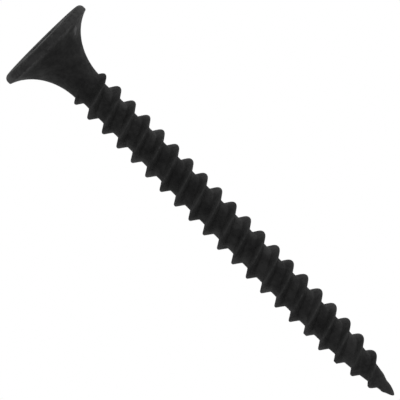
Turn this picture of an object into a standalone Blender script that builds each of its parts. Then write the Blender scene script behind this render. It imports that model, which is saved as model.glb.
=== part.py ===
"""Bugle-head screw with a twin-start thread and a needle point, black phosphated steel.

One piece of wire: the head and its cross recess are cold headed, the thread and the point are rolled.
The axis is Z. The origin is the middle of the head's flat face, +Z points out towards the driver,
and the point is at Z = -LENGTH. All sizes are in metres and all angles in degrees.
"""

import math

import bmesh
import bpy

# Whole screw
LENGTH = 0.040  # from the head's face to the tip

# Head: a flat face, a thin rim, and a flare that runs tangent into the wire
HEAD_DIAMETER = 0.0085
RIM_HEIGHT = 0.00068
RIM_TOP_RADIUS = 0.00042
RIM_BOTTOM_BEVEL = 0.00009
FLARE_LENGTH = 0.00462  # from the rim's lower edge to where the flare meets the wire
FLARE_ANGLE = 72.2  # the flare's slope at the rim, from the axis

# Wire, before and after rolling
WIRE_DIAMETER = 0.00265
ROOT_DIAMETER = 0.00232
ROLL_IN = 0.0007  # length over which the wire narrows to the thread's root

# Thread, right-handed
THREAD_STARTS = 2
CREST_SPACING = 0.001631
MAJOR_DIAMETER = 0.00362
CREST_FLAT = 0.00007
HEAD_FLANK_ANGLE = 28.0  # flank that faces the head, from square to the axis
POINT_FLANK_ANGLE = 31.6  # flank that faces the point
LEAST_FOOT_SHARE = 0.35  # share of the full flank width that a fading ridge keeps
FIRST_CREST = 0.005788  # below the face, on the +X side
THREAD_START = 0.0046  # below the face, where the ridges begin to rise
THREAD_RISE = 0.00141  # length over which they reach full height

# Point: the root tapers along an ogive, and each ridge fades out before the tip
POINT_LENGTH = 0.00975
POINT_BLUNTNESS = 0.576  # 0.5 is an ellipse, more is slimmer at the tip
RIDGE_TAPER = 0.69  # how fast the ridges sink as the root narrows
RUN_OUT_LENGTH = 0.00238  # the last stretch of a ridge, over which it fades to nothing
DRAWN_LENGTH = 0.012  # the end of the screw, where rolling the point drew the thread out
DRAWN_BY = 0.0003  # how far it pushed the thread, at the tip
TIP_RINGS = (0.0005, 0.0003, 0.00015, 0.00005)  # plain rings, measured from the tip

# Cross recess, size 2
RECESS_SPAN = 0.0047  # across two opposite wings, at the face
RECESS_FLOOR_SPAN = 0.00229  # across two opposite wings, where they end
WING_WIDTH = 0.00115
WING_END_ANGLE = 26.5  # the wings' outer ends, from the axis
WING_DRAFT = 3.0  # the wings' sides, from the axis
CORE_WIDTH = 0.0020  # across the flats that cut the corners between the wings
CORE_DRAFT = 5.9
FLOOR_CONE_ANGLE = 70.0  # the conical floor, from the axis
CUTTER_OVERRUN = 0.0004  # how far the cutter stands above the face

# Mesh fineness
COLUMNS = 32
RIM_STEPS = 3
FLARE_STEPS = 10
SNAP = 0.00005  # a thread row this close to a plain ring joins it
SHARP_EDGE = 32.0

PHOSPHATE_COLOUR = (0.014, 0.014, 0.015, 1.0)
PHOSPHATE_ROUGHNESS = 0.42
PHOSPHATE_METALLIC = 0.3

HEAD_RADIUS = HEAD_DIAMETER / 2
WIRE_RADIUS = WIRE_DIAMETER / 2
ROOT_RADIUS = ROOT_DIAMETER / 2
THREAD_HEIGHT = (MAJOR_DIAMETER - ROOT_DIAMETER) / 2
LEAD = THREAD_STARTS * CREST_SPACING
FLARE_END = RIM_HEIGHT + FLARE_LENGTH


def tangent(degrees):
    """Tangent of an angle in degrees."""
    return math.tan(math.radians(degrees))


def smooth_step(x):
    """Rise from 0 to 1 as x goes from 0 to 1, level at both ends."""
    x = min(max(x, 0.0), 1.0)
    return x * x * (3 - 2 * x)


def flare_radius(depth):
    """Radius of the head's flare: an elliptical arc, tangent to the wire at FLARE_END.

    Its semi-axes follow from its rise, its length and its slope at the rim.
    """
    rise = HEAD_RADIUS - WIRE_RADIUS
    rim_cosine = 1 / (FLARE_LENGTH * tangent(FLARE_ANGLE) / rise - 1)
    semi_rise = rise / (1 - rim_cosine)
    semi_length = FLARE_LENGTH / math.sqrt(1 - rim_cosine**2)
    along = (FLARE_END - depth) / semi_length
    return WIRE_RADIUS + semi_rise * (1 - math.sqrt(max(1 - along**2, 0.0)))


def point_share(depth):
    """Share of the root's radius that is left in the pointed end, 1 above it and 0 at the tip."""
    share = min(max((LENGTH - depth) / POINT_LENGTH, 0.0), 1.0)
    return (1 - (1 - share) ** 2) ** POINT_BLUNTNESS


def core_radius(depth):
    """Radius of the screw without its ridges, at a depth below the face."""
    if depth < FLARE_END:
        return flare_radius(depth)
    rolled = smooth_step((depth - FLARE_END) / ROLL_IN)
    radius = WIRE_RADIUS + (ROOT_RADIUS - WIRE_RADIUS) * rolled
    return radius * point_share(depth)


def drawn_out(depth):
    """Depth to which rolling the point moved a crest: its push grows with the cube of the way to the tip."""
    share = min(max(1 - (LENGTH - depth) / DRAWN_LENGTH, 0.0), 1.0)
    return depth + DRAWN_BY * share**3


def ridge_height(depth, start):
    """Height of a ridge's crest above the core. One start runs out at the tip, the next a crest earlier."""
    rise = smooth_step((depth - THREAD_START) / THREAD_RISE)
    run_out = smooth_step((LENGTH - depth - start * CREST_SPACING) / RUN_OUT_LENGTH)
    return THREAD_HEIGHT * rise * run_out * point_share(depth) ** RIDGE_TAPER


def ridge_section(depth, start):
    """Points across one ridge whose crest is at this depth, from the head side to the point side.

    Each is (depth, height above the core). The last two lie in the groove below the ridge.
    """
    height = ridge_height(depth, start)
    width_height = max(height, THREAD_HEIGHT * LEAST_FOOT_SHARE)
    head_foot = depth - CREST_FLAT / 2 - width_height * tangent(HEAD_FLANK_ANGLE)
    point_foot = depth + CREST_FLAT / 2 + width_height * tangent(POINT_FLANK_ANGLE)
    groove = (point_foot + head_foot + CREST_SPACING) / 2
    return [
        (head_foot, 0.0),
        (depth - CREST_FLAT / 2, height),
        (depth + CREST_FLAT / 2, height),
        (point_foot, 0.0),
        (groove, 0.0),
    ]


def head_outline():
    """(radius, depth) down the head, from the edge of its flat face to where the thread begins."""
    outline = []
    for step in range(RIM_STEPS + 1):
        turn = math.radians(90) * step / RIM_STEPS
        radius = HEAD_RADIUS - RIM_TOP_RADIUS * (1 - math.sin(turn))
        outline.append((radius, RIM_TOP_RADIUS * (1 - math.cos(turn))))
    outline.append((HEAD_RADIUS, RIM_HEIGHT - RIM_BOTTOM_BEVEL))
    first = RIM_HEIGHT + RIM_BOTTOM_BEVEL / 2
    for step in range(FLARE_STEPS):
        # closer together at the rim, where the flare bends most
        share = (step / FLARE_STEPS) ** 1.5
        depth = first + (THREAD_START - first) * share
        outline.append((flare_radius(depth), depth))
    return outline


class Skin:
    """The screw's outer surface, built ring by ring around Z in a bmesh."""

    def __init__(self):
        self.mesh = bmesh.new()

    def vertex(self, radius, depth, column):
        """Add the vertex of one column."""
        angle = math.tau * column / COLUMNS
        place = (radius * math.cos(angle), radius * math.sin(angle), -depth)
        return self.mesh.verts.new(place)

    def ring(self, radius, depth):
        """Add a level ring of vertices."""
        return [self.vertex(radius, depth, column) for column in range(COLUMNS)]

    def face(self, corners):
        """Add a face, leaving out corners that coincide and faces that vanish."""
        corners = list(dict.fromkeys(corners))
        if len(corners) > 2:
            self.mesh.faces.new(corners)

    def band(self, upper, lower):
        """Join two level rings."""
        for column in range(COLUMNS):
            after = (column + 1) % COLUMNS
            self.face([upper[column], lower[column], lower[after], upper[after]])

    def cap(self, ring):
        """Close a level ring with one flat face."""
        self.mesh.faces.new(ring)

    def close_on(self, ring, depth):
        """Close a level ring on a point of the axis."""
        tip = self.mesh.verts.new((0.0, 0.0, -depth))
        for column in range(COLUMNS):
            self.face([ring[column], tip, ring[(column + 1) % COLUMNS]])

    def thread(self, upper, upper_depth, lower, lower_depth):
        """Fill the surface between two level rings with the ridges and grooves.

        Its rows are helices: each rises by the lead in one turn, so a row that completes a turn
        joins the row one lead higher. A row that would pass a ring ends on it.
        """
        first_crest = math.floor((upper_depth - FIRST_CREST) / CREST_SPACING)
        # one turn climbs a whole lead, and the last row's head-side foot has to be past the ring too
        beyond = THREAD_STARTS + 1
        last_crest = math.ceil((lower_depth - FIRST_CREST) / CREST_SPACING) + beyond
        points_per_crest = len(ridge_section(FIRST_CREST, 0))
        rows_per_lead = points_per_crest * THREAD_STARTS
        made = {}

        def row_vertex(row, column):
            turns, column = divmod(column, COLUMNS)
            row -= turns * rows_per_lead
            if (row, column) not in made:
                made[row, column] = new_row_vertex(row, column)
            return made[row, column]

        def new_row_vertex(row, column):
            crest, point = divmod(row, points_per_crest)
            crest_depth = drawn_out(FIRST_CREST + crest * CREST_SPACING - LEAD * column / COLUMNS)
            # ridges are counted so that the start that reaches furthest down is number 0
            start = (crest + 1) % THREAD_STARTS
            depth, height = ridge_section(crest_depth, start)[point]
            if depth < upper_depth + SNAP:
                return upper[column]
            if depth > lower_depth - SNAP:
                return lower[column]
            return self.vertex(core_radius(depth) + height, depth, column)

        for row in range(first_crest * points_per_crest, last_crest * points_per_crest):
            for column in range(COLUMNS):
                corners = [(row, column), (row + 1, column), (row + 1, column + 1), (row, column + 1)]
                self.face([row_vertex(*corner) for corner in corners])


def build_skin():
    """The closed outer surface of the screw, without its recess."""
    skin = Skin()
    rings = [skin.ring(radius, depth) for radius, depth in head_outline()]
    rings.append(skin.ring(flare_radius(THREAD_START), THREAD_START))
    skin.cap(rings[0])
    for upper, lower in zip(rings, rings[1:]):
        skin.band(upper, lower)

    tip_depths = [LENGTH - rest for rest in TIP_RINGS]
    tip_rings = [skin.ring(core_radius(depth), depth) for depth in tip_depths]
    skin.thread(rings[-1], THREAD_START, tip_rings[0], tip_depths[0])
    for upper, lower in zip(tip_rings, tip_rings[1:]):
        skin.band(upper, lower)
    skin.close_on(tip_rings[-1], LENGTH)
    return skin.mesh


def recess_outline(depth):
    """The recess's cross-shaped outline at one depth, as 16 points that run anticlockwise."""
    wing_end = RECESS_SPAN / 2 - depth * tangent(WING_END_ANGLE)
    wing_side = WING_WIDTH / 2 - depth * tangent(WING_DRAFT)
    core = CORE_WIDTH / 2 - depth * tangent(CORE_DRAFT)
    corner = core * math.sqrt(2) - wing_side
    quarter = [(wing_end, -wing_side), (wing_end, wing_side), (corner, wing_side), (wing_side, corner)]
    outline = []
    for turn in range(4):
        cosine = round(math.cos(math.tau * turn / 4))
        sine = round(math.sin(math.tau * turn / 4))
        outline += [(x * cosine - y * sine, x * sine + y * cosine) for x, y in quarter]
    return outline


def build_recess():
    """The closed solid that cuts the recess: four tapered wings on a conical floor."""
    wing_depth = (RECESS_SPAN - RECESS_FLOOR_SPAN) / 2 / tangent(WING_END_ANGLE)
    floor_depth = wing_depth + RECESS_FLOOR_SPAN / 2 / tangent(FLOOR_CONE_ANGLE)
    mesh = bmesh.new()
    upper, lower = (
        [mesh.verts.new((x, y, -depth)) for x, y in recess_outline(depth)]
        for depth in (-CUTTER_OVERRUN, wing_depth)
    )
    tip = mesh.verts.new((0.0, 0.0, -floor_depth))
    mesh.faces.new(upper)
    for index in range(len(upper)):
        after = (index + 1) % len(upper)
        mesh.faces.new([upper[index], lower[index], lower[after], upper[after]])
        mesh.faces.new([lower[index], tip, lower[after]])
    return mesh


def to_object(name, mesh):
    """Turn a bmesh into an object in the scene."""
    bmesh.ops.recalc_face_normals(mesh, faces=mesh.faces)
    data = bpy.data.meshes.new(name)
    mesh.to_mesh(data)
    mesh.free()
    made = bpy.data.objects.new(name, data)
    bpy.context.scene.collection.objects.link(made)
    return made


def black_phosphate():
    """The dark matt coat that the whole screw wears."""
    material = bpy.data.materials.new("black_phosphate")
    material.use_nodes = True
    shader = material.node_tree.nodes["Principled BSDF"]
    shader.inputs["Base Color"].default_value = PHOSPHATE_COLOUR
    shader.inputs["Roughness"].default_value = PHOSPHATE_ROUGHNESS
    shader.inputs["Metallic"].default_value = PHOSPHATE_METALLIC
    return material


def add_screw():
    """The whole screw, with its recess cut."""
    screw = to_object("screw", build_skin())
    screw.data.materials.append(black_phosphate())
    screw.data.shade_smooth()
    screw.data.set_sharp_from_angle(angle=math.radians(SHARP_EDGE))

    cutter = to_object("recess_cutter", build_recess())
    cutter.hide_render = True
    cutter.display_type = "WIRE"
    cut = screw.modifiers.new("recess", "BOOLEAN")
    cut.operation = "DIFFERENCE"
    cut.solver = "EXACT"
    cut.object = cutter
    return screw


def clear_scene():
    """Remove whatever the opened file holds."""
    for old in list(bpy.data.objects):
        bpy.data.objects.remove(old, do_unlink=True)


clear_scene()
add_screw()
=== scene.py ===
"""Looks of a bugle-head screw in black phosphated steel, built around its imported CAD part.

The screw's axis is Z, the origin is the middle of the head's flat face, and the point is at -Z.
A depth is a distance below that face. Lengths are in metres, written as millimetres times MM.
Angles are in degrees where they are a size, and in radians where they are a place around the axis.

The skin is one sheet of points. Its rows start in the middle of the recess's floor, climb the
recess's walls, cross the face, turn over the rim and run down to the tip. Its columns go round
the axis, and the last column repeats the first, so that the sheet closes on itself.
"""

from __future__ import annotations

import logging
import math
from dataclasses import dataclass, field, fields
from enum import Enum
from typing import Any

import bmesh
import bpy
import numpy as np
from mathutils import Matrix, Vector


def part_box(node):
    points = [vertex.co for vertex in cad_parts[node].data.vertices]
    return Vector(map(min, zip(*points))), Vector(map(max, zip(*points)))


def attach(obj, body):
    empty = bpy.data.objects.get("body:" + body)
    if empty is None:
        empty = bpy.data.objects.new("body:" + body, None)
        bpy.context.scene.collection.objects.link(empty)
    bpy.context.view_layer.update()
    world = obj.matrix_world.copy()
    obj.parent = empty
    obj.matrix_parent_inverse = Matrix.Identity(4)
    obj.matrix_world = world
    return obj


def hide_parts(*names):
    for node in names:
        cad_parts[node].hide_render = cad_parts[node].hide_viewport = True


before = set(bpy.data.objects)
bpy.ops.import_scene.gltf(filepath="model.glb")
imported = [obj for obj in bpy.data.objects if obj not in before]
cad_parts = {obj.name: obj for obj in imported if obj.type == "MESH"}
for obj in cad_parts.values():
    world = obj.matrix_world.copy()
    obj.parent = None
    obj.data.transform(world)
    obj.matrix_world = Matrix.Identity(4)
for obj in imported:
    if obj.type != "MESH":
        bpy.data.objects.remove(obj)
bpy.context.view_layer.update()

MM = 0.001
COLUMNS = 144
QUARTER = COLUMNS // 4
EIGHTH = COLUMNS // 8
ANGLES = math.tau * np.arange(COLUMNS + 1) / COLUMNS
CAD_NODE = "screw"
SLOT = "black_phosphate"
TIE = 1e-9  # a point this close to a boundary counts to its upper side, whichever way rounding goes
LOG = logging.getLogger("bugle_screw")

Colour = tuple[float, float, float, float]
Stretch = tuple[float, float]  # the two values that become 0 and 1


class Reading(Enum):
    """What the skin tells its finish at each point. The value is the name of the mesh's attribute."""

    # The wear reading also carries a painted highlight streak on the flare.
    WEAR_AND_HIGHLIGHT = "wear"
    HANDLED = "handled"
    OFF_CREST = "off_crest"


def tangent(degrees: float) -> float:
    """Tangent of an angle in degrees."""
    return math.tan(math.radians(degrees))


def smooth_step(x: np.ndarray) -> np.ndarray:
    """Rise from 0 to 1 as x goes from 0 to 1: 3x squared less 2x cubed, level at both ends."""
    x = np.clip(x, 0.0, 1.0)
    return x * x * (3 - 2 * x)


def smooth_ramp(x: np.ndarray, radius: np.ndarray) -> np.ndarray:
    """The greater of x and 0, with a fillet.

    It is half the sum of x and the root of x squared plus the radius squared.
    """
    return (x + np.sqrt(x * x + radius * radius)) / 2


def soften_columns(values: np.ndarray, passes: int) -> np.ndarray:
    """Average each point of a closed row with its two neighbours, with the weights 1, 2 and 1.

    Args:
        values: rows whose last column repeats the first.
        passes: how many times over.
    Returns:
        the softened rows, closed in the same way.
    """
    ring = values[:, :-1]
    for _ in range(passes):
        ring = (np.roll(ring, 1, axis=1) + 2 * ring + np.roll(ring, -1, axis=1)) / 4
    return np.concatenate([ring, ring[:, :1]], axis=1)


def soften_rows(values: np.ndarray, passes: int) -> np.ndarray:
    """Average each row with the rows before and after it, with the weights 1, 2 and 1.

    Args:
        values: rows, of which the first and the last stay.
        passes: how many times over.
    Returns:
        the softened rows.
    """
    values = values.copy()
    for _ in range(passes):
        values[1:-1] = (values[:-2] + 2 * values[1:-1] + values[2:]) / 4
    return values


@dataclass(frozen=True)
class Unevenness:
    """Small swells that forging and rolling leave: a few long waves over a surface.

    Each wave is (turns round the axis, waves per metre of depth, start of the wave in radians).
    """

    size: float
    waves: tuple[tuple[int, float, float], ...]

    def at(self, angle: np.ndarray, depth: np.ndarray) -> np.ndarray:
        """Mean of the waves' sines, each of turns times angle plus its rate times depth, times size.

        Args:
            angle: each point's angle in radians.
            depth: each point's depth.
        Returns:
            how far each point stands out.
        """
        total = 0.0
        for turns, rate, start in self.waves:
            total = total + np.sin(turns * angle + math.tau * rate * depth + start)
        return self.size * total / len(self.waves)


@dataclass
class Sheet:
    """Rows of points on the skin, with what the finish needs to know at each point.

    Attributes:
        x, y, depth: where the points are.
        wear: 0 on open surface, 1 on an edge that rubs through; on the flare it also holds a painted
            highlight streak.
        handled: 0 on sheltered surface, 1 where handling and tumbling have greyed the coat.
        off_crest: distance from the nearest ridge's crest, as a share of half the crest spacing.
    """

    x: np.ndarray
    y: np.ndarray
    depth: np.ndarray
    wear: np.ndarray
    handled: np.ndarray
    off_crest: np.ndarray

    @classmethod
    def of_rings(cls, radius: np.ndarray, depth: np.ndarray, wear: np.ndarray, handled: np.ndarray) -> Sheet:
        """Turned rows: x is radius times the cosine of the column's angle, y radius times its sine.

        Args:
            radius: one value per row, or one per point.
            depth: the same.
            wear: the same.
            handled: the same.
        Returns:
            the sheet of the rings, all of it off the thread.
        """
        full = np.ones((len(radius), COLUMNS + 1))
        radius, depth, wear, handled = (
            values * full if values.ndim == 2 else values[:, None] * full
            for values in (radius, depth, wear, handled)
        )
        return cls(radius * np.cos(ANGLES), radius * np.sin(ANGLES), depth, wear, handled, full)

    @classmethod
    def stacked(cls, sheets: list[Sheet]) -> Sheet:
        """Sheets one below the other, as one sheet."""
        columns = ([getattr(sheet, item.name) for sheet in sheets] for item in fields(cls))
        return cls(*(np.concatenate(parts) for parts in columns))


@dataclass
class CrossRecess:
    """The driver recess: four tapered wings around a core with cut corners, on a conical floor.

    Widths are those on the face, and slopes are degrees from the axis.

    Attributes:
        span: width across two opposite wings.
        floor_span: width across the floor cone where the wings' ends meet it.
        wing_width: width across one wing.
        wing_end_angle, wing_draft: slopes of the wings' ends and of their sides.
        core_width, core_draft: width across two opposite cut corners, and their slope.
        cone_angle: slope of the floor cone.
        mouth_radius: radius of the fillet between the walls and the face.
        mouth_steps, wall_steps, floor_steps: how many rows each part has.
        end_columns, side_columns: how many columns of an eighth half a wing's end and a side take.
        corner_passes, fold_passes: how often each row's corners and the folds between rows are softened.
        edge_rounds: rounds of the search for the floor's edge.
        mouth_wear: wear in the middle of the mouth's fillet.
        greyed_depth: depth below which handling doesn't reach.
    """

    span: float = 4.7 * MM
    floor_span: float = 2.29 * MM
    wing_width: float = 1.15 * MM
    wing_end_angle: float = 26.5
    wing_draft: float = 3.0
    core_width: float = 2.0 * MM
    core_draft: float = 5.9
    cone_angle: float = 70.0
    mouth_radius: float = 0.07 * MM
    mouth_steps: int = 5
    wall_steps: int = 12
    wall_gather: float = 1.3  # above 1, the walls' rows stand closer together at the floor
    floor_steps: int = 7
    end_columns: int = 4
    side_columns: int = 11
    corner_passes: int = 1
    fold_passes: int = 1
    edge_rounds: int = 8
    mouth_wear: float = 0.8
    mouth_wear_spread: float = 0.5  # below 1, the wear reaches further from the mouth's edge
    greyed_depth: float = 1.2 * MM

    @property
    def apex(self) -> float:
        """Depth of the floor's middle."""
        wing_depth = (self.span - self.floor_span) / 2 / tangent(self.wing_end_angle)
        return wing_depth + self.floor_span / 2 / tangent(self.cone_angle)

    def outline(self, depth: np.ndarray, widen: np.ndarray) -> tuple[np.ndarray, np.ndarray]:
        """The recess's outline at each point's depth.

        An eighth of it runs from the middle of a wing's end, along the end, along the wing's side and
        along half of the cut corner. Each of those corners counts by a hat function of the column's
        share of the eighth. Every second eighth is the mirror image, and four quarter turns close it.

        Args:
            depth: depth of each point, by row and column.
            widen: how far the outline stands outside the recess's walls.
        Returns:
            x and y of each point.
        """
        quarter, within = np.divmod(np.arange(COLUMNS + 1), QUARTER)
        share = 1 - np.abs(within / EIGHTH - 1)
        knots = (0.0, self.end_columns / EIGHTH, (self.end_columns + self.side_columns) / EIGHTH, 1.0)
        hats = [np.interp(share, knots, np.eye(len(knots))[index]) for index in range(len(knots))]

        end = self.span / 2 - depth * tangent(self.wing_end_angle) + widen
        side = self.wing_width / 2 - depth * tangent(self.wing_draft) + widen
        core = self.core_width / 2 - depth * tangent(self.core_draft) + widen
        corner, middle = core * math.sqrt(2) - side, core / math.sqrt(2)
        along = end * (hats[0] + hats[1]) + corner * hats[2] + middle * hats[3]
        across = side * (hats[1] + hats[2]) + middle * hats[3]

        mirrored = within > EIGHTH
        x = np.where(mirrored, across, along)
        y = np.where(mirrored, along, across)
        cosine = np.round(np.cos(math.tau / 4 * quarter))
        sine = np.round(np.sin(math.tau / 4 * quarter))
        x, y = x * cosine - y * sine, x * sine + y * cosine
        return soften_columns(x, self.corner_passes), soften_columns(y, self.corner_passes)

    def floor_edge(self) -> np.ndarray:
        """Find where the walls meet the floor cone, by going back and forth between the two.

        Returns:
            the depth of the floor's edge at each column, as one row.
        """
        depth = np.full((1, COLUMNS + 1), self.apex)
        for _ in range(self.edge_rounds):
            x, y = self.outline(depth, np.zeros_like(depth))
            depth = self.apex - np.hypot(x, y) / tangent(self.cone_angle)
        return depth

    def sheet(self) -> Sheet:
        """The floor, the walls and the rounded mouth, from the middle of the floor outwards.

        The floor's rows are shares of its edge, with depths on the cone. The walls' rows share out the
        depth from the floor to the mouth. The mouth turns a quarter circle from the wall to the face:
        as it turns, its depth is the radius times 1 less the sine, and it widens by the radius times 1
        less the cosine.

        Returns:
            the recess's sheet, whose last row is the outline on the face.
        """
        edge = self.floor_edge()
        edge_x, edge_y = self.outline(edge, np.zeros_like(edge))
        share = np.linspace(0, 1, self.floor_steps, endpoint=False)[:, None]
        floor = (
            share * edge_x,
            share * edge_y,
            self.apex - share * np.hypot(edge_x, edge_y) / tangent(self.cone_angle),
        )

        climbed = np.linspace(0, 1, self.wall_steps, endpoint=False)[:, None] ** self.wall_gather
        wall_depth = edge + (self.mouth_radius - edge) * climbed
        wall = (*self.outline(wall_depth, np.zeros_like(wall_depth)), wall_depth)

        turn = np.linspace(0, math.tau / 4, self.mouth_steps)[:, None] * np.ones(COLUMNS + 1)
        mouth_depth = self.mouth_radius * (1 - np.sin(turn))
        mouth = (*self.outline(mouth_depth, self.mouth_radius * (1 - np.cos(turn))), mouth_depth)

        x, y, depth = (np.concatenate(parts) for parts in zip(floor, wall, mouth))
        inner = self.floor_steps + self.wall_steps
        for values in (x, y, depth):
            values[:inner] = soften_rows(values[:inner], self.fold_passes)
        wear = np.zeros_like(x)
        wear[inner:] = self.mouth_wear * np.sin(2 * turn) ** self.mouth_wear_spread
        handled = smooth_step(1 - depth / self.greyed_depth)
        return Sheet(x, y, depth, wear, handled, np.ones_like(x))


@dataclass(frozen=True)
class Spot:
    """A spot on the skin: its angle, its depth, its half-width in degrees and its half-length."""

    angle: float
    depth: float
    half_width: float
    half_length: float

    def bell(self, angle: np.ndarray, depth: np.ndarray) -> np.ndarray:
        """1 in the spot's middle, falling off as a bell: e to minus the two distances squared.

        Args:
            angle: each point's angle in radians.
            depth: each point's depth.
        Returns:
            the bell's height at each point.
        """
        turn = np.remainder(angle - math.radians(self.angle) + math.pi, math.tau) - math.pi
        across, along = turn / math.radians(self.half_width), (depth - self.depth) / self.half_length
        return np.exp(-(across**2) - along**2)


@dataclass
class BugleHead:
    """The flat face, the thin rim, and the flare that runs tangent into the wire.

    Attributes:
        radius, wire_radius: of the rim, and of the wire that the flare becomes.
        painted_highlight: a painted highlight, a light streak along the flare that stands in for a lamp's
            reflection.
        rim_height: depth at which the flare would meet the rim if the edge were sharp.
        rim_top_radius, rim_bottom_radius: of the rim's rounded edges, to the face and to the flare.
        flare_length, flare_angle: the flare's length, and its slope at the rim in degrees from the axis.
        face_steps, rim_top_steps, rim_side_steps, rim_bottom_steps, flare_steps: how many rows each has.
        rim_top_wear, rim_bottom_wear: wear in the middle of the rim's edges.
        face_handled: how greyed the face is.
        greyed_below: how far down the flare handling reaches.
        face_swell, rim_swell: what forging left uneven.
    """

    radius: float
    wire_radius: float
    # A painted highlight: a light streak on the flare, drawn through the wear channel as rubbed metal where
    # a lamp's reflection would fall.
    painted_highlight: Spot = Spot(4.5, 1.22 * MM, 6.0, 0.4 * MM)
    rim_height: float = 0.68 * MM
    rim_top_radius: float = 0.42 * MM
    rim_bottom_radius: float = 0.11 * MM
    flare_length: float = 4.62 * MM
    flare_angle: float = 72.2
    face_steps: int = 10
    rim_top_steps: int = 7
    rim_side_steps: int = 3
    rim_bottom_steps: int = 4
    rim_top_wear: float = 0.55
    rim_bottom_wear: float = 0.8
    flare_first: float = 0.45  # depth of the flare's first row, in radii of the rim's lower edge
    flare_steps: int = 40
    flare_gather: float = 1.5  # above 1, the flare's rows stand closer together at the rim
    face_handled: float = 0.5
    greyed_below: float = 0.25 * MM
    face_swell: Unevenness = Unevenness(
        0.006 * MM, ((2, 130.0, 0.4), (3, 260.0, 2.1), (5, 410.0, 4.0), (7, 90.0, 1.2))
    )
    rim_swell: Unevenness = Unevenness(
        0.014 * MM, ((2, 40.0, 1.0), (3, 90.0, 3.9), (5, 150.0, 0.6), (9, 60.0, 2.5), (14, 200.0, 5.1))
    )

    @property
    def flare_end(self) -> float:
        """Depth at which the flare has become the wire."""
        return self.rim_height + self.flare_length

    def flare_radius(self, depth: np.ndarray) -> np.ndarray:
        """Radius of the flare: an elliptical arc, tangent to the wire where it ends.

        Its semi-axes follow from its rise, its length and its slope at the rim.

        Args:
            depth: the depths to work it out at.
        Returns:
            the radius at each depth.
        """
        rise = self.radius - self.wire_radius
        rim_cosine = 1 / (self.flare_length * tangent(self.flare_angle) / rise - 1)
        semi_rise = rise / (1 - rim_cosine)
        semi_length = self.flare_length / math.sqrt(1 - rim_cosine**2)
        along = np.clip((self.flare_end - depth) / semi_length, 0.0, 1.0)
        return self.wire_radius + semi_rise * (1 - np.sqrt(1 - along**2))

    def face(self, inner: Sheet) -> Sheet:
        """The flat ring from the recess's mouth to the rim.

        Each column runs straight from its point of the mouth to its own angle on the rim's inner circle,
        and sinks by a few micrometres where forging left it uneven.

        Args:
            inner: the recess's sheet, whose last row is the mouth.
        Returns:
            the ring's sheet.
        """
        circle = self.radius - self.rim_top_radius
        share = (np.arange(1, self.face_steps + 1) / self.face_steps)[:, None]
        x = inner.x[-1] + (circle * np.cos(ANGLES) - inner.x[-1]) * share
        y = inner.y[-1] + (circle * np.sin(ANGLES) - inner.y[-1]) * share
        swell = self.face_swell.at(np.arctan2(y, x), np.hypot(x, y)) + self.face_swell.size
        depth = swell * np.sin(math.pi * share)
        return Sheet(x, y, depth, np.zeros_like(x), self.face_handled * np.ones_like(x), np.ones_like(x))

    def rim(self) -> Sheet:
        """The rim: a quarter circle from the face, a straight side, and a small arc into the flare.

        The flare's slope and the arc's own turn fix where the arc leaves the side and meets the flare.

        Returns:
            the rim's sheet.
        """
        turn = np.linspace(0, math.tau / 4, self.rim_top_steps)[1:]
        top = np.array([
            self.radius - self.rim_top_radius * (1 - np.sin(turn)),
            self.rim_top_radius * (1 - np.cos(turn)),
            self.rim_top_wear * np.sin(2 * turn) ** 2,
        ])

        slope = math.radians(self.flare_angle)
        drawn_in = self.rim_bottom_radius * (1 - math.cos(slope))
        meets = self.rim_height + drawn_in / math.tan(slope)
        leaves = meets - self.rim_bottom_radius * math.sin(slope)
        side_depth = np.linspace(self.rim_top_radius, leaves, self.rim_side_steps, endpoint=False)[1:]
        side = np.array([np.full_like(side_depth, self.radius), side_depth, np.zeros_like(side_depth)])

        turn = np.linspace(0, slope, self.rim_bottom_steps)
        bottom = np.array([
            self.radius - self.rim_bottom_radius * (1 - np.cos(turn)),
            leaves + self.rim_bottom_radius * np.sin(turn),
            self.rim_bottom_wear * np.sin(math.pi * turn / slope),
        ])
        radius, depth, wear = np.concatenate([top, side, bottom], axis=1)
        swell = self.rim_swell.at(ANGLES, depth[:, None])
        fades_in = smooth_step(depth / self.rim_top_radius)
        handled = self.face_handled + (1 - self.face_handled) * fades_in
        return Sheet.of_rings(radius[:, None] + swell * fades_in[:, None], depth, wear, handled)

    def flare(self, end: float) -> Sheet:
        """The flare, from the rim's lower edge down, with rows closer together where it bends most, and a
        painted highlight streak.

        Args:
            end: the depth that it stops short of by one row.
        Returns:
            the flare's sheet.
        """
        start = self.rim_height + self.rim_bottom_radius * self.flare_first
        share = np.linspace(0, 1, self.flare_steps, endpoint=False) ** self.flare_gather
        depth = start + (end - start) * share
        swell = self.rim_swell.at(ANGLES, depth[:, None])
        radius = self.flare_radius(depth)[:, None] + swell * (1 - share[:, None])
        handled = smooth_step(1 - (depth - start) / self.greyed_below)
        # On the flare the wear channel holds only the painted highlight streak.
        wear = self.painted_highlight.bell(ANGLES, depth[:, None])
        return Sheet.of_rings(radius, depth, wear, handled)


@dataclass(frozen=True)
class Nick:
    """A place where a crest was knocked flat.

    Attributes:
        angle, depth: where it is.
        level: the flat's distance from the axis.
        reach: how far it can cut above and below its depth.
        least_facing: the cosine of the turn from its middle, past which it cuts nothing.
    """

    angle: float
    depth: float
    level: float
    reach: float = 0.7 * MM
    least_facing: float = 0.5

    def cut(self, radius: np.ndarray, angle: np.ndarray, depth: np.ndarray) -> np.ndarray:
        """Hold the radius below the flat's plane: its level over the cosine of the turn from its middle.

        Args:
            radius: each point's radius.
            angle: each point's angle in radians.
            depth: each point's depth.
        Returns:
            the radii, cut where the flat is.
        """
        facing = np.cos(angle - math.radians(self.angle))
        near = (np.abs(depth - self.depth) < self.reach) & (facing > self.least_facing)
        plane = self.level / np.maximum(facing, self.least_facing)
        return np.where(near, np.minimum(radius, plane), radius)


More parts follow.
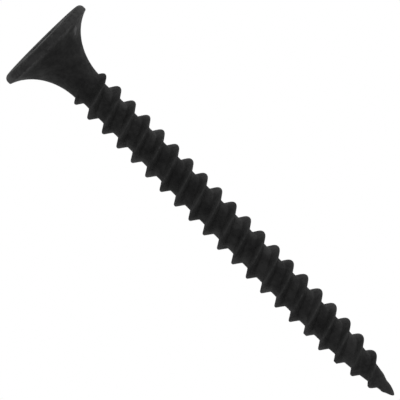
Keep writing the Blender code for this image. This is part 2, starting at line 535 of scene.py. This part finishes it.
@dataclass
class RolledThread:
    """The wire below the head: its root, its two rolled ridges and its point.

    Attributes:
        head: the head above, whose flare goes on into the thread.
        length: from the face to the tip.
        starts, crest_spacing: number of ridges, and distance along the axis from crest to crest.
        major_radius, root_radius: of the crests and of the root between them.
        roll_in: length below the flare over which the wire narrows to the root.
        crest_flat, crest_round: width of a crest's flat, and rounding of its two edges.
        head_flank, point_flank: slopes of a ridge's sides, in degrees from a plane square to the axis.
        least_foot_share: a ridge's foot never narrows below this share of its full width.
        root_fillet: rounding between a full ridge and the root.
        first_crest: depth of the first crest at angle 0.
        begin, rise: depth at which the ridges begin, and length over which they rise.
        point_length: length over which the root narrows to the tip.
        point_bluntness: power of the root's narrowing; a smaller one is blunter.
        ridge_taper: power of the point's share that the ridges' height follows.
        run_out_length: length over which a ridge sinks to nothing.
        snap: a row this close to the top or the bottom ring lies on it.
        plain_tip, tip_steps: length of the needle's end, and its number of rings.
        crest_swell, root_swell: what rolling left uneven.
        drawn_length, drawn_by: length over which the point was drawn out, and how far at the tip.
        drawn_rounds: rounds of the search for a drawn-out row's depth.
        crest_wear, worn_width: wear of a full crest, and how far from it the wear reaches.
        worn_tip: length of the tip that is worn and greyed.
        handled_share: share of half the crest spacing over which a crest is greyed.
        greyed_point, point_handled: length over which the point is greyed, and how much at the tip.
        nicks: the crests that were knocked flat.
        burr, burr_height: a burr on the needle, and how far it stands out.
        dent, dent_depth: a dent in the needle, and how deep it is.
    """

    head: BugleHead
    length: float
    starts: int = 2
    crest_spacing: float = 1.631 * MM
    major_radius: float = 1.81 * MM
    root_radius: float = 1.16 * MM
    roll_in: float = 0.7 * MM
    crest_flat: float = 0.074 * MM
    crest_round: float = 0.012 * MM
    head_flank: float = 28.0
    point_flank: float = 31.6
    least_foot_share: float = 0.35
    root_fillet: float = 0.1 * MM
    first_crest: float = 5.788 * MM
    begin: float = 4.6 * MM
    rise: float = 1.41 * MM
    point_length: float = 9.75 * MM
    point_bluntness: float = 0.576
    ridge_taper: float = 0.69
    run_out_length: float = 2.38 * MM
    row_knots: tuple[int, ...] = (0, 3, 6, 11, 12, 13, 18, 21, 24)  # rows between one groove and the next
    fillet_reach: float = 0.09 * MM  # how far the rows at a fillet reach to both sides of it
    crest_reach: float = 0.04 * MM  # the same at a crest
    snap: float = 0.015 * MM
    plain_tip: float = 0.5 * MM
    tip_steps: int = 12
    crest_swell: Unevenness = Unevenness(
        0.02 * MM, ((1, 210.0, 0.3), (2, 70.0, 2.6), (3, 330.0, 4.4), (5, 120.0, 1.9), (8, 505.0, 0.8))
    )
    root_swell: Unevenness = Unevenness(0.008 * MM, ((1, 90.0, 1.7), (2, 240.0, 0.2), (4, 400.0, 3.3)))
    drawn_length: float = 12.0 * MM
    drawn_by: float = 0.3 * MM
    drawn_rounds: int = 12
    crest_wear: float = 0.5
    worn_width: float = 0.08 * MM
    worn_tip: float = 0.9 * MM
    handled_share: float = 0.5
    greyed_point: float = 9.0 * MM
    point_handled: float = 0.8
    nicks: tuple[Nick, ...] = (Nick(225.0, 31.4 * MM, 1.665 * MM), Nick(225.0, 34.7 * MM, 1.51 * MM))
    burr: Spot = Spot(225.0, 39.12 * MM, 45.0, 0.2 * MM)
    burr_height: float = 0.065 * MM
    dent: Spot = Spot(45.0, 38.72 * MM, 50.0, 0.35 * MM)
    dent_depth: float = 0.07 * MM

    @property
    def lead(self) -> float:
        """How far a ridge climbs in one turn."""
        return self.starts * self.crest_spacing

    @property
    def height(self) -> float:
        """Full height of a ridge above the root."""
        return self.major_radius - self.root_radius

    @property
    def rows_per_crest(self) -> int:
        """Rows from the middle of one groove to the next."""
        return self.row_knots[-1]

    def start_of(self, number: np.ndarray) -> np.ndarray:
        """Which start a ridge belongs to, counted so that number 0 reaches furthest down."""
        return (number + 1) % self.starts

    def point_share(self, depth: np.ndarray) -> np.ndarray:
        """Share of the root's radius left in the point: 1 less the square of what is gone, to a power."""
        share = np.clip((self.length - depth) / self.point_length, 0.0, 1.0)
        return (1 - (1 - share) ** 2) ** self.point_bluntness

    def core(self, depth: np.ndarray) -> np.ndarray:
        """Radius without the ridges: the flare, then the wire as it narrows to the root and the point.

        Args:
            depth: the depths to work it out at.
        Returns:
            the radius at each depth.
        """
        head = self.head
        rolled = smooth_step((depth - head.flare_end) / self.roll_in)
        wire = head.wire_radius + (self.root_radius - head.wire_radius) * rolled
        return np.where(depth < head.flare_end, head.flare_radius(depth), wire * self.point_share(depth))

    def ridge_height(self, crest_depth: np.ndarray, start: np.ndarray) -> np.ndarray:
        """Height of a ridge's crest above the core.

        It is the full height times a rise below the head, a run-out that ends one crest spacing sooner
        for each start, and the point's share to a power.

        Args:
            crest_depth: depth of the crest.
            start: which start it belongs to.
        Returns:
            the height of each crest.
        """
        rise = smooth_step((crest_depth - self.begin) / self.rise)
        left = self.length - crest_depth - start * self.crest_spacing
        run_out = smooth_step(left / self.run_out_length)
        return self.height * rise * run_out * self.point_share(crest_depth) ** self.ridge_taper

    def drawn_out(self, depth: np.ndarray) -> np.ndarray:
        """How far the thread was pushed down: it grows with the cube of the way to the tip."""
        share = np.clip(1 - (self.length - depth) / self.drawn_length, 0.0, 1.0)
        return self.drawn_by * share**3

    def nearest_ridge(self, angle: np.ndarray, depth: np.ndarray) -> tuple[np.ndarray, np.ndarray]:
        """The ridge nearest to each point: how far along the axis its crest is, and its number.

        Crest number n lies at the first crest's depth plus n spacings less the lead times the turn made,
        which is a right-handed helix, and a little further where the point drew it out. The middle of a
        groove counts to the ridge above it.

        Args:
            angle: each point's angle in radians.
            depth: each point's depth.
        Returns:
            each point's distance below that crest, and the crest's number.
        """
        rolled = depth - self.drawn_out(depth)
        phase = (rolled - self.first_crest + self.lead * angle / math.tau - TIE) / self.crest_spacing
        number = np.floor(phase + 0.5)
        return (phase - number) * self.crest_spacing, number

    def radius(self, angle: np.ndarray, depth: np.ndarray) -> np.ndarray:
        """Radius of the screw at any angle and depth below the flare's start.

        It is the core plus the ridge. A ridge falls from its crest by the distance from the crest's flat,
        divided by the tangent of the flank's angle, and a fillet joins it to the core.

        Args:
            angle: each point's angle in radians.
            depth: each point's depth.
        Returns:
            the radius at each point, with its swells, nicks, burr and dent.
        """
        across, number = self.nearest_ridge(angle, depth)
        crest_depth = depth - across
        height = self.ridge_height(crest_depth, self.start_of(number))
        share = height / self.height
        slope = np.where(across < 0, tangent(self.head_flank), tangent(self.point_flank))
        from_flat = smooth_ramp(np.abs(across) - self.crest_flat / 2, self.crest_round)
        stretch = share / np.maximum(share, self.least_foot_share)
        ridge = smooth_ramp(height - from_flat / slope * stretch, self.root_fillet * share)
        near_crest = np.clip(ridge / self.height, 0.0, 1.0)
        swell = self.crest_swell.at(angle, crest_depth) * near_crest * share
        swell = swell + self.root_swell.at(angle, depth) * self.point_share(depth)
        radius = self.core(depth) + ridge + swell * smooth_step((depth - self.begin) / self.rise)
        for nick in self.nicks:
            radius = nick.cut(radius, angle, depth)
        burr = self.burr_height * self.burr.bell(angle, depth)
        dent = self.dent_depth * self.dent.bell(angle, depth)
        return radius + burr - dent

    def measured(self, depth: np.ndarray) -> Sheet:
        """The points of the skin at these depths, with what the finish needs to know.

        A crest is worn as a bell of the distance from it, and handled in proportion to how near it is.
        The point is greyed as a whole.

        Args:
            depth: rows of depths, one for each column's angle.
        Returns:
            the sheet of these points.
        """
        radius = self.radius(ANGLES, depth)
        across, number = self.nearest_ridge(ANGLES, depth)
        full = self.ridge_height(depth - across, self.start_of(number)) / self.height
        at_tip = smooth_step(1 - (self.length - depth) / self.worn_tip)
        wear = np.maximum(self.crest_wear * np.exp(-((across / self.worn_width) ** 2)) * full, at_tip)
        off_crest = np.abs(across) / (self.crest_spacing / 2)
        handled = np.maximum(np.clip(1 - off_crest / self.handled_share, 0.0, 1.0) * full, at_tip)
        at_point = smooth_step(1 - (self.length - depth) / self.greyed_point)
        handled = np.maximum(handled, self.point_handled * at_point)
        return Sheet(radius * np.cos(ANGLES), radius * np.sin(ANGLES), depth, wear, handled, off_crest)

    def ridges(self) -> Sheet:
        """The threaded length, with rows that climb with the thread.

        A row starts at a depth and rises by the lead in one turn, so it ends on the row one lead above
        it. The rows gather at the crest and at the two fillets. Where a row would pass the top or the
        bottom ring, it lies on that ring.

        Returns:
            the sheet from where the thread begins to the plain tip.
        """
        top = self.begin
        bottom = self.length - self.plain_tip
        head_foot = self.crest_flat / 2 + self.height * tangent(self.head_flank)
        point_foot = self.crest_flat / 2 + self.height * tangent(self.point_flank)
        half, fillet, crest_edge = self.crest_spacing / 2, self.fillet_reach, self.crest_reach
        places = (-half, -head_foot - fillet, -head_foot + fillet, -crest_edge, 0, crest_edge)
        places += (point_foot - fillet, point_foot + fillet, half)

        first = math.floor((top - self.first_crest) / self.crest_spacing) - 1
        last = math.ceil((bottom + self.lead - self.first_crest) / self.crest_spacing) + 1
        rows = np.arange(first * self.rows_per_crest, last * self.rows_per_crest)
        crest, within = np.divmod(rows, self.rows_per_crest)
        start = self.first_crest + crest * self.crest_spacing + np.interp(within, self.row_knots, places)
        rolled = start[:, None] - self.lead * np.arange(COLUMNS + 1) / COLUMNS
        depth = rolled
        for _ in range(self.drawn_rounds):
            depth = rolled + self.drawn_out(depth)
        depth = np.where(depth < top + self.snap, top, depth)
        depth = np.where(depth > bottom - self.snap, bottom, depth)
        return self.measured(depth)

    def tip(self) -> Sheet:
        """The needle's end: what is left to the tip falls with the square of the share that is left.

        Returns:
            the tip's sheet, whose last row is one point on the axis.
        """
        left = self.plain_tip * np.linspace(1, 0, self.tip_steps) ** 2
        sheet = self.measured((self.length - left)[:, None] * np.ones(COLUMNS + 1))
        for values in (sheet.x, sheet.y):
            values[-1] = 0.0
        return sheet


class Wire:
    """A node socket in arithmetic: an expression of wires and numbers adds the Math nodes for it."""

    def __init__(self, nodes: NodeMaker, socket: bpy.types.NodeSocket) -> None:
        """Hold a socket and the maker of its tree's nodes."""
        self.nodes = nodes
        self.socket = socket

    def _math(self, operation: str, first: Wire | float, second: Wire | float) -> Wire:
        """Add one Math node."""
        return self.nodes.add("ShaderNodeMath", {"operation": operation}, {0: first, 1: second})

    def __add__(self, other: Wire | float) -> Wire:
        """Sum."""
        return self._math("ADD", self, other)

    def __sub__(self, other: Wire | float) -> Wire:
        """Difference."""
        return self._math("SUBTRACT", self, other)

    def __rsub__(self, other: float) -> Wire:
        """Difference from a number."""
        return self._math("SUBTRACT", other, self)

    def __mul__(self, other: Wire | float) -> Wire:
        """Product."""
        return self._math("MULTIPLY", self, other)

    __radd__ = __add__
    __rmul__ = __mul__

    def clipped(self) -> Wire:
        """The value held between 0 and 1."""
        return self.nodes.add("ShaderNodeClamp", {}, {0: self})

    def above(self, low: float, high: float) -> Wire:
        """0 below low and 1 above high, with a smooth rise between."""
        settings = {"interpolation_type": "SMOOTHSTEP"}
        return self.nodes.add("ShaderNodeMapRange", settings, {0: self, 1: low, 2: high, 3: 0.0, 4: 1.0})


class NodeMaker:
    """Adds nodes to one node tree."""

    def __init__(self, tree: bpy.types.NodeTree) -> None:
        """Work on an emptied tree."""
        self.tree = tree
        tree.nodes.clear()

    def add(
        self, kind: str, settings: dict[str, Any], sockets: dict[int | str, Any], output: int | str = 0
    ) -> Wire:
        """Add one node.

        Args:
            kind: the node's type.
            settings: its own settings, which are set first.
            sockets: values or wires for its inputs, by name or number.
            output: which output the wire holds.
        Returns:
            the output, ready for arithmetic.
        """
        node = self.tree.nodes.new(kind)
        for name, value in settings.items():
            setattr(node, name, value)
        for key, value in sockets.items():
            if isinstance(value, Wire):
                self.tree.links.new(value.socket, node.inputs[key])
            else:
                node.inputs[key].default_value = value
        outputs = node.outputs
        return Wire(self, outputs[output] if len(outputs) else None)

    def noise(self, place: Wire, kind: Noise) -> Wire:
        """Noise of one kind, whose values lie between about 0.3 and 0.7."""
        look = {"Vector": place, "Scale": 1 / kind.size, "Detail": kind.detail, "Roughness": kind.roughness}
        return self.add("ShaderNodeTexNoise", {}, look)

    def reading(self, reading: Reading) -> Wire:
        """What the skin tells the finish."""
        return self.add("ShaderNodeAttribute", {"attribute_name": reading.value}, {}, "Fac")

    def mix_colours(self, share: Wire | float, first: Wire | Colour, second: Wire | Colour) -> Wire:
        """Blend two colours."""
        return self.add("ShaderNodeMix", {"data_type": "RGBA"}, {0: share, 6: first, 7: second}, 2)


@dataclass(frozen=True)
class Noise:
    """A pattern over the skin.

    Attributes:
        size: size of its swells.
        detail, roughness: how many finer layers it has, and how strong they are.
        stretch: the two of its values that become 0 and 1 where it counts in the coat's tone.
        tone_share: how much it counts there.
    """

    size: float
    detail: float
    roughness: float
    stretch: Stretch
    tone_share: float


@dataclass(frozen=True)
class BlackPhosphate:
    """A fine-grained black conversion coat, matt, oiled unevenly, and rubbed thin on sharp edges.

    A share is how much one thing counts in a sum, or how far a mix goes towards its second colour.
    """

    dark: Colour = (0.006, 0.006, 0.0062, 1.0)
    light: Colour = (0.02, 0.02, 0.0198, 1.0)
    handled: Colour = (0.031, 0.031, 0.031, 1.0)
    # The colour of edges rubbed through the coat, which also paints the highlight streak on the flare.
    rubbed_and_highlight: Colour = (0.09, 0.09, 0.092, 1.0)
    patches: Noise = Noise(1.6 * MM, 3.0, 0.55, (0.36, 0.64), 0.45)
    mottle: Noise = Noise(0.32 * MM, 4.0, 0.6, (0.36, 0.64), 0.4)
    grain: Noise = Noise(0.045 * MM, 2.0, 0.7, (0.3, 0.7), 0.15)
    noise_middle: float = 0.5

    wear_share: float = 1.15
    wear_mottling: float = 1.6
    wear_held_back: float = 0.3
    rub_stretch: Stretch = (0.25, 0.75)
    rubbed_share: float = 0.6
    bare_metal: float = 0.5

    greyed_evenly: float = 0.35
    greyed_patches: float = 0.5
    greyed_patch_stretch: Stretch = (0.36, 0.62)
    greyed_mottling: float = 0.5
    stray_grey: float = 0.6
    stray_grey_stretch: Stretch = (0.56, 0.7)

    dry_roughness: float = 0.72
    oiled_roughness: float = 0.6
    oiled_patches: float = 0.7
    oiled_mottling: float = 0.3
    oiled_stretch: Stretch = (0.42, 0.6)
    grain_roughness: float = 0.25
    rubbed_roughness: float = 0.42
    rubbed_smoothing: float = 0.7
    reflectance: float = 0.2

    grain_height: float = 0.004 * MM
    mottle_height: float = 0.012 * MM
    rolling_lines: float = 26.0
    rolling_wander: float = 1.5
    rolling_detail: float = 2.0
    rolling_height: float = 0.004 * MM

    def material(self) -> bpy.types.Material:
        """The finish as a material with one Principled shader.

        The colour is the tone between dark and light, mixed towards the handled grey and then towards
        the rubbed metal, which on the flare also paints a highlight streak. The roughness follows the oil
        and the grain, and falls where it is rubbed and where that highlight is painted. The relief is the
        grain, the mottle and the rolling lines, each times its height.

        Returns:
            the new material, named as the record's slot.
        """
        made = bpy.data.materials.new(SLOT)
        made.use_nodes = True
        nodes = NodeMaker(made.node_tree)
        place = nodes.add("ShaderNodeTexCoord", {}, {}, "Object")
        kinds = (self.patches, self.mottle, self.grain)
        patches, mottle, grain = (nodes.noise(place, kind) for kind in kinds)
        wear, handled, off_crest = (nodes.reading(reading) for reading in Reading)

        mottled_wear_and_highlight = wear * self.wear_share + (mottle - self.noise_middle) * self.wear_mottling
        # Rubbed edges, and on the flare a painted highlight streak, both from the wear channel.
        rubbed_and_highlight = (mottled_wear_and_highlight - self.wear_held_back).above(*self.rub_stretch)
        in_patches, in_mottle, in_grain = (
            noise.above(*kind.stretch) for noise, kind in zip((patches, mottle, grain), kinds)
        )
        tone = in_patches * self.patches.tone_share + in_mottle * self.mottle.tone_share
        tone = tone + in_grain * self.grain.tone_share
        colour = nodes.mix_colours(tone, self.dark, self.light)
        greyed = self.greyed_evenly + patches.above(*self.greyed_patch_stretch) * self.greyed_patches
        greyed = handled * (greyed + in_mottle * self.greyed_mottling)
        greyed = greyed + patches.above(*self.stray_grey_stretch) * self.stray_grey
        colour = nodes.mix_colours(greyed.clipped(), colour, self.handled)
        colour = nodes.mix_colours(rubbed_and_highlight * self.rubbed_share, colour, self.rubbed_and_highlight)

        oiled = (patches * self.oiled_patches + mottle * self.oiled_mottling).above(*self.oiled_stretch)
        roughness = self.dry_roughness + oiled * (self.oiled_roughness - self.dry_roughness)
        roughness = roughness + (grain - self.noise_middle) * self.grain_roughness
        roughness = roughness + rubbed_and_highlight * self.rubbed_smoothing * (self.rubbed_roughness - roughness)

        # rolling leaves fine lines along the ridges: noise in one dimension, across them
        across = off_crest * self.rolling_lines + mottle * self.rolling_wander
        lines = nodes.add(
            "ShaderNodeTexNoise",
            {"noise_dimensions": "1D"},
            {"W": across, "Scale": 1.0, "Detail": self.rolling_detail},
        )
        relief = grain * self.grain_height + mottle * self.mottle_height + lines * self.rolling_height
        bump = nodes.add("ShaderNodeBump", {}, {"Height": relief, "Strength": 1.0, "Distance": 1.0})
        shader = nodes.add(
            "ShaderNodeBsdfPrincipled",
            {},
            {
                "Base Color": colour,
                "Roughness": roughness,
                "Metallic": rubbed_and_highlight * self.bare_metal,
                "Specular IOR Level": self.reflectance,
                "Normal": bump,
            },
        )
        nodes.add("ShaderNodeOutputMaterial", {}, {"Surface": shader})
        return made


@dataclass
class Screw:
    """The whole screw, one closed skin from the recess's floor to the tip.

    Attributes:
        name: the piece's name.
        head_offset, offset_angle: how far the head stands off the shank's axis, and towards which angle.
        neck: the depths between which that offset fades out.
        wire_radius: radius of the wire under the head.
        weld: points closer together than this become one.
        sharp_edge: an edge at which the skin turns by more degrees than this is shaded sharp.
        recess: the driver recess.
    """

    name: str = "bugle_screw"
    head_offset: float = 0.038 * MM
    offset_angle: float = 225.0
    neck: tuple[float, float] = (5.0 * MM, 12.0 * MM)
    wire_radius: float = 1.325 * MM
    weld: float = 1e-7
    sharp_edge: float = 46.0
    recess: CrossRecess = field(default_factory=CrossRecess)

    def sheet(self) -> Sheet:
        """All of the skin's rows, with the head's radius and the length from the CAD part's box.

        Returns:
            one sheet, from the middle of the recess's floor to the tip.
        """
        low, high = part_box(CAD_NODE)
        head = BugleHead(radius=high.x, wire_radius=self.wire_radius)
        thread = RolledThread(head=head, length=high.z - low.z)
        recess = self.recess.sheet()
        return Sheet.stacked([
            recess, head.face(recess), head.rim(), head.flare(thread.begin), thread.ridges(), thread.tip()
        ])

    def off_axis(self, depth: np.ndarray) -> np.ndarray:
        """How far the skin stands off the axis: the head's offset, which fades out along the neck."""
        above, below = self.neck
        return self.head_offset * (1 - smooth_step((depth - above) / (below - above)))

    def mesh(self, sheet: Sheet) -> bpy.types.Mesh:
        """The skin as a mesh: one face for each cell of the sheet, with coinciding points merged.

        Cell (row, column) has its corners at (row, column), (row + 1, column), (row + 1, column + 1) and
        (row, column + 1), which goes round it anticlockwise as seen from outside.

        Args:
            sheet: the whole skin.
        Returns:
            the closed mesh, with one attribute for each reading.
        """
        rows, columns = sheet.x.shape
        off_axis = self.off_axis(sheet.depth)
        towards = math.radians(self.offset_angle)
        x, y = sheet.x + off_axis * math.cos(towards), sheet.y + off_axis * math.sin(towards)
        points = np.stack([x, y, -sheet.depth], axis=-1).reshape(-1, 3)
        corner = (np.arange(rows - 1)[:, None] * columns + np.arange(columns - 1)).ravel()
        faces = np.stack([corner, corner + columns, corner + columns + 1, corner + 1], axis=1)
        data = bpy.data.meshes.new(self.name)
        data.vertices.add(len(points))
        data.vertices.foreach_set("co", points.ravel())
        data.loops.add(faces.size)
        data.loops.foreach_set("vertex_index", faces.ravel())
        data.polygons.add(len(faces))
        data.polygons.foreach_set("loop_start", np.arange(0, faces.size, 4))
        data.update(calc_edges=True)
        for reading in Reading:
            attribute = data.attributes.new(reading.value, "FLOAT", "POINT")
            attribute.data.foreach_set("value", getattr(sheet, reading.value).ravel().astype(np.float32))

        merged = bmesh.new()
        merged.from_mesh(data)
        bmesh.ops.remove_doubles(merged, verts=merged.verts, dist=self.weld)
        merged.to_mesh(data)
        merged.free()
        data.shade_smooth()
        data.set_sharp_from_angle(angle=math.radians(self.sharp_edge))
        return data

    def build(self) -> bpy.types.Object:
        """Make the screw's object, without its finish.

        Returns:
            the object, in the scene.
        """
        made = bpy.data.objects.new(self.name, self.mesh(self.sheet()))
        bpy.context.scene.collection.objects.link(made)
        return made

    def dress(self, piece: bpy.types.Object) -> None:
        """Give the screw its coat."""
        piece.data.materials.append(BlackPhosphate().material())


def direction(azimuth: float, elevation: float) -> Vector:
    """The unit vector that points a way.

    Args:
        azimuth: degrees around the axis, from -Y towards +X.
        elevation: degrees above the XY plane.
    Returns:
        the vector.
    """
    around, above = math.radians(azimuth), math.radians(elevation)
    level = Vector((math.sin(around), -math.cos(around), 0.0))
    return level * math.cos(above) + Vector((0.0, 0.0, math.sin(above)))


@dataclass(frozen=True)
class StudioLight:
    """A square soft light that faces the screw.

    Attributes:
        name: the light's name.
        azimuth, elevation: where it stands as seen from the screw, as in direction().
        distance: from the screw.
        power: in watts.
        side: the length of its side.
    """

    name: str
    azimuth: float
    elevation: float
    distance: float
    power: float
    side: float = 0.6

    def place(self, target: Vector) -> None:
        """Add the light.

        Args:
            target: the point that it faces.
        """
        data = bpy.data.lights.new(self.name, "AREA")
        data.energy = self.power
        data.size = self.side
        light = bpy.data.objects.new(self.name, data)
        bpy.context.scene.collection.objects.link(light)
        away = direction(self.azimuth, self.elevation)
        light.location = target + away * self.distance
        light.rotation_euler = away.to_track_quat("Z", "Y").to_euler()


@dataclass
class Studio:
    """A plain pale floor, soft light and the camera.

    Attributes:
        target, length: the screw's middle, and its length.
        floor_gap: how far the floor lies below the screw's tip.
        floor_side, floor_colour: the floor's size, and its colour as a reflector.
        surround_colour, surround_light: the surroundings' colour, and the strength of their light.
        camera_distance, camera_azimuth, camera_elevation: where the camera stands, seen from the target.
        camera_roll: degrees by which it is turned about its own line of sight.
        field_width: width of what it sees at the target.
        aim_right, aim_up: how far to the right of the target and above it, in its view, it aims.
        camera_reach: how far away it still sees.
        lights: the studio lights.
    """

    target: Vector
    length: float
    floor_gap: float = 13 * MM
    floor_side: float = 24.0
    floor_colour: Colour = (0.85, 0.85, 0.85, 1.0)
    surround_colour: Colour = (1.0, 1.0, 1.0, 1.0)
    surround_light: float = 0.6
    camera_distance: float = 0.44
    camera_azimuth: float = 45.0
    camera_elevation: float = 4.64
    camera_roll: float = 44.7337
    field_width: float = 31.9168 * MM
    aim_right: float = -1.4957 * MM
    aim_up: float = 1.467 * MM
    camera_reach: float = 100.0
    lights: tuple[StudioLight, ...] = (
        StudioLight("key", 145.0, 20.0, 0.8, 1.8),
        StudioLight("fill", -65.0, 5.0, 1.0, 1.2),
    )

    def floor(self) -> None:
        """A pale floor below the point, which the camera sees as white paper."""
        side = self.floor_side / 2
        level = self.target.z - self.length / 2 - self.floor_gap
        data = bpy.data.meshes.new("floor")
        corners = [(x * side, y * side, level) for x, y in ((-1, -1), (1, -1), (1, 1), (-1, 1))]
        data.from_pydata(corners, [], [(0, 1, 2, 3)])
        paper = bpy.data.materials.new("white_paper")
        paper.use_nodes = True
        nodes = NodeMaker(paper.node_tree)
        seen = nodes.add("ShaderNodeLightPath", {}, {}, "Is Camera Ray")
        matt = nodes.add("ShaderNodeBsdfDiffuse", {}, {"Color": self.floor_colour})
        lit = nodes.add("ShaderNodeEmission", {}, {"Strength": 1.0})
        surface = nodes.add("ShaderNodeMixShader", {}, {0: seen, 1: matt, 2: lit})
        nodes.add("ShaderNodeOutputMaterial", {}, {"Surface": surface})
        data.materials.append(paper)
        made = bpy.data.objects.new("floor", data)
        bpy.context.scene.collection.objects.link(made)

    def surround(self) -> None:
        """White all round to look at, with an even soft light."""
        world = bpy.data.worlds.new("studio")
        world.use_nodes = True
        nodes = NodeMaker(world.node_tree)
        seen = nodes.add("ShaderNodeLightPath", {}, {}, "Is Camera Ray")
        strength = self.surround_light + seen * (1.0 - self.surround_light)
        sky = nodes.add("ShaderNodeBackground", {}, {"Color": self.surround_colour, "Strength": strength})
        nodes.add("ShaderNodeOutputWorld", {}, {"Surface": sky})
        bpy.context.scene.world = world
        bpy.context.scene.view_settings.view_transform = "Standard"

    def camera(self) -> None:
        """A long lens that looks nearly square at the axis, rolled so that the screw lies diagonally."""
        roll = math.radians(self.camera_roll)
        back = direction(self.camera_azimuth, self.camera_elevation)
        level_right = direction(self.camera_azimuth + 90.0, 0.0)
        level_up = back.cross(level_right)
        right = level_right * math.cos(roll) - level_up * math.sin(roll)
        up = level_right * math.sin(roll) + level_up * math.cos(roll)
        place = self.target + back * self.camera_distance
        aim = self.target + right * self.aim_right + up * self.aim_up
        ahead = (aim - place).normalized()
        side = ahead.cross(up).normalized()

        data = bpy.data.cameras.new("camera")
        data.lens = data.sensor_width * self.camera_distance / self.field_width
        data.clip_end = self.camera_reach
        made = bpy.data.objects.new("camera", data)
        bpy.context.scene.collection.objects.link(made)
        turn = Matrix((side, side.cross(ahead), -ahead)).transposed()
        made.matrix_world = Matrix.Translation(place) @ turn.to_4x4()
        bpy.context.scene.camera = made

    def build(self) -> None:
        """Set up everything around the screw."""
        self.floor()
        self.surround()
        for light in self.lights:
            light.place(self.target)
        self.camera()


def main() -> None:
    """Build the studio and the screw, and note how many points and triangles the screw has."""
    logging.basicConfig(level=logging.INFO, format="%(message)s")
    low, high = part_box(CAD_NODE)
    Studio(target=(low + high) / 2, length=high.z - low.z).build()

    screw = Screw()
    piece = screw.build()
    screw.dress(piece)
    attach(piece, "root")
    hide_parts(CAD_NODE)
    data = piece.data
    data.calc_loop_triangles()
    LOG.info("%s: %d points, %d triangles", piece.name, len(data.vertices), len(data.loop_triangles))


if __name__ == "__main__":
    main()
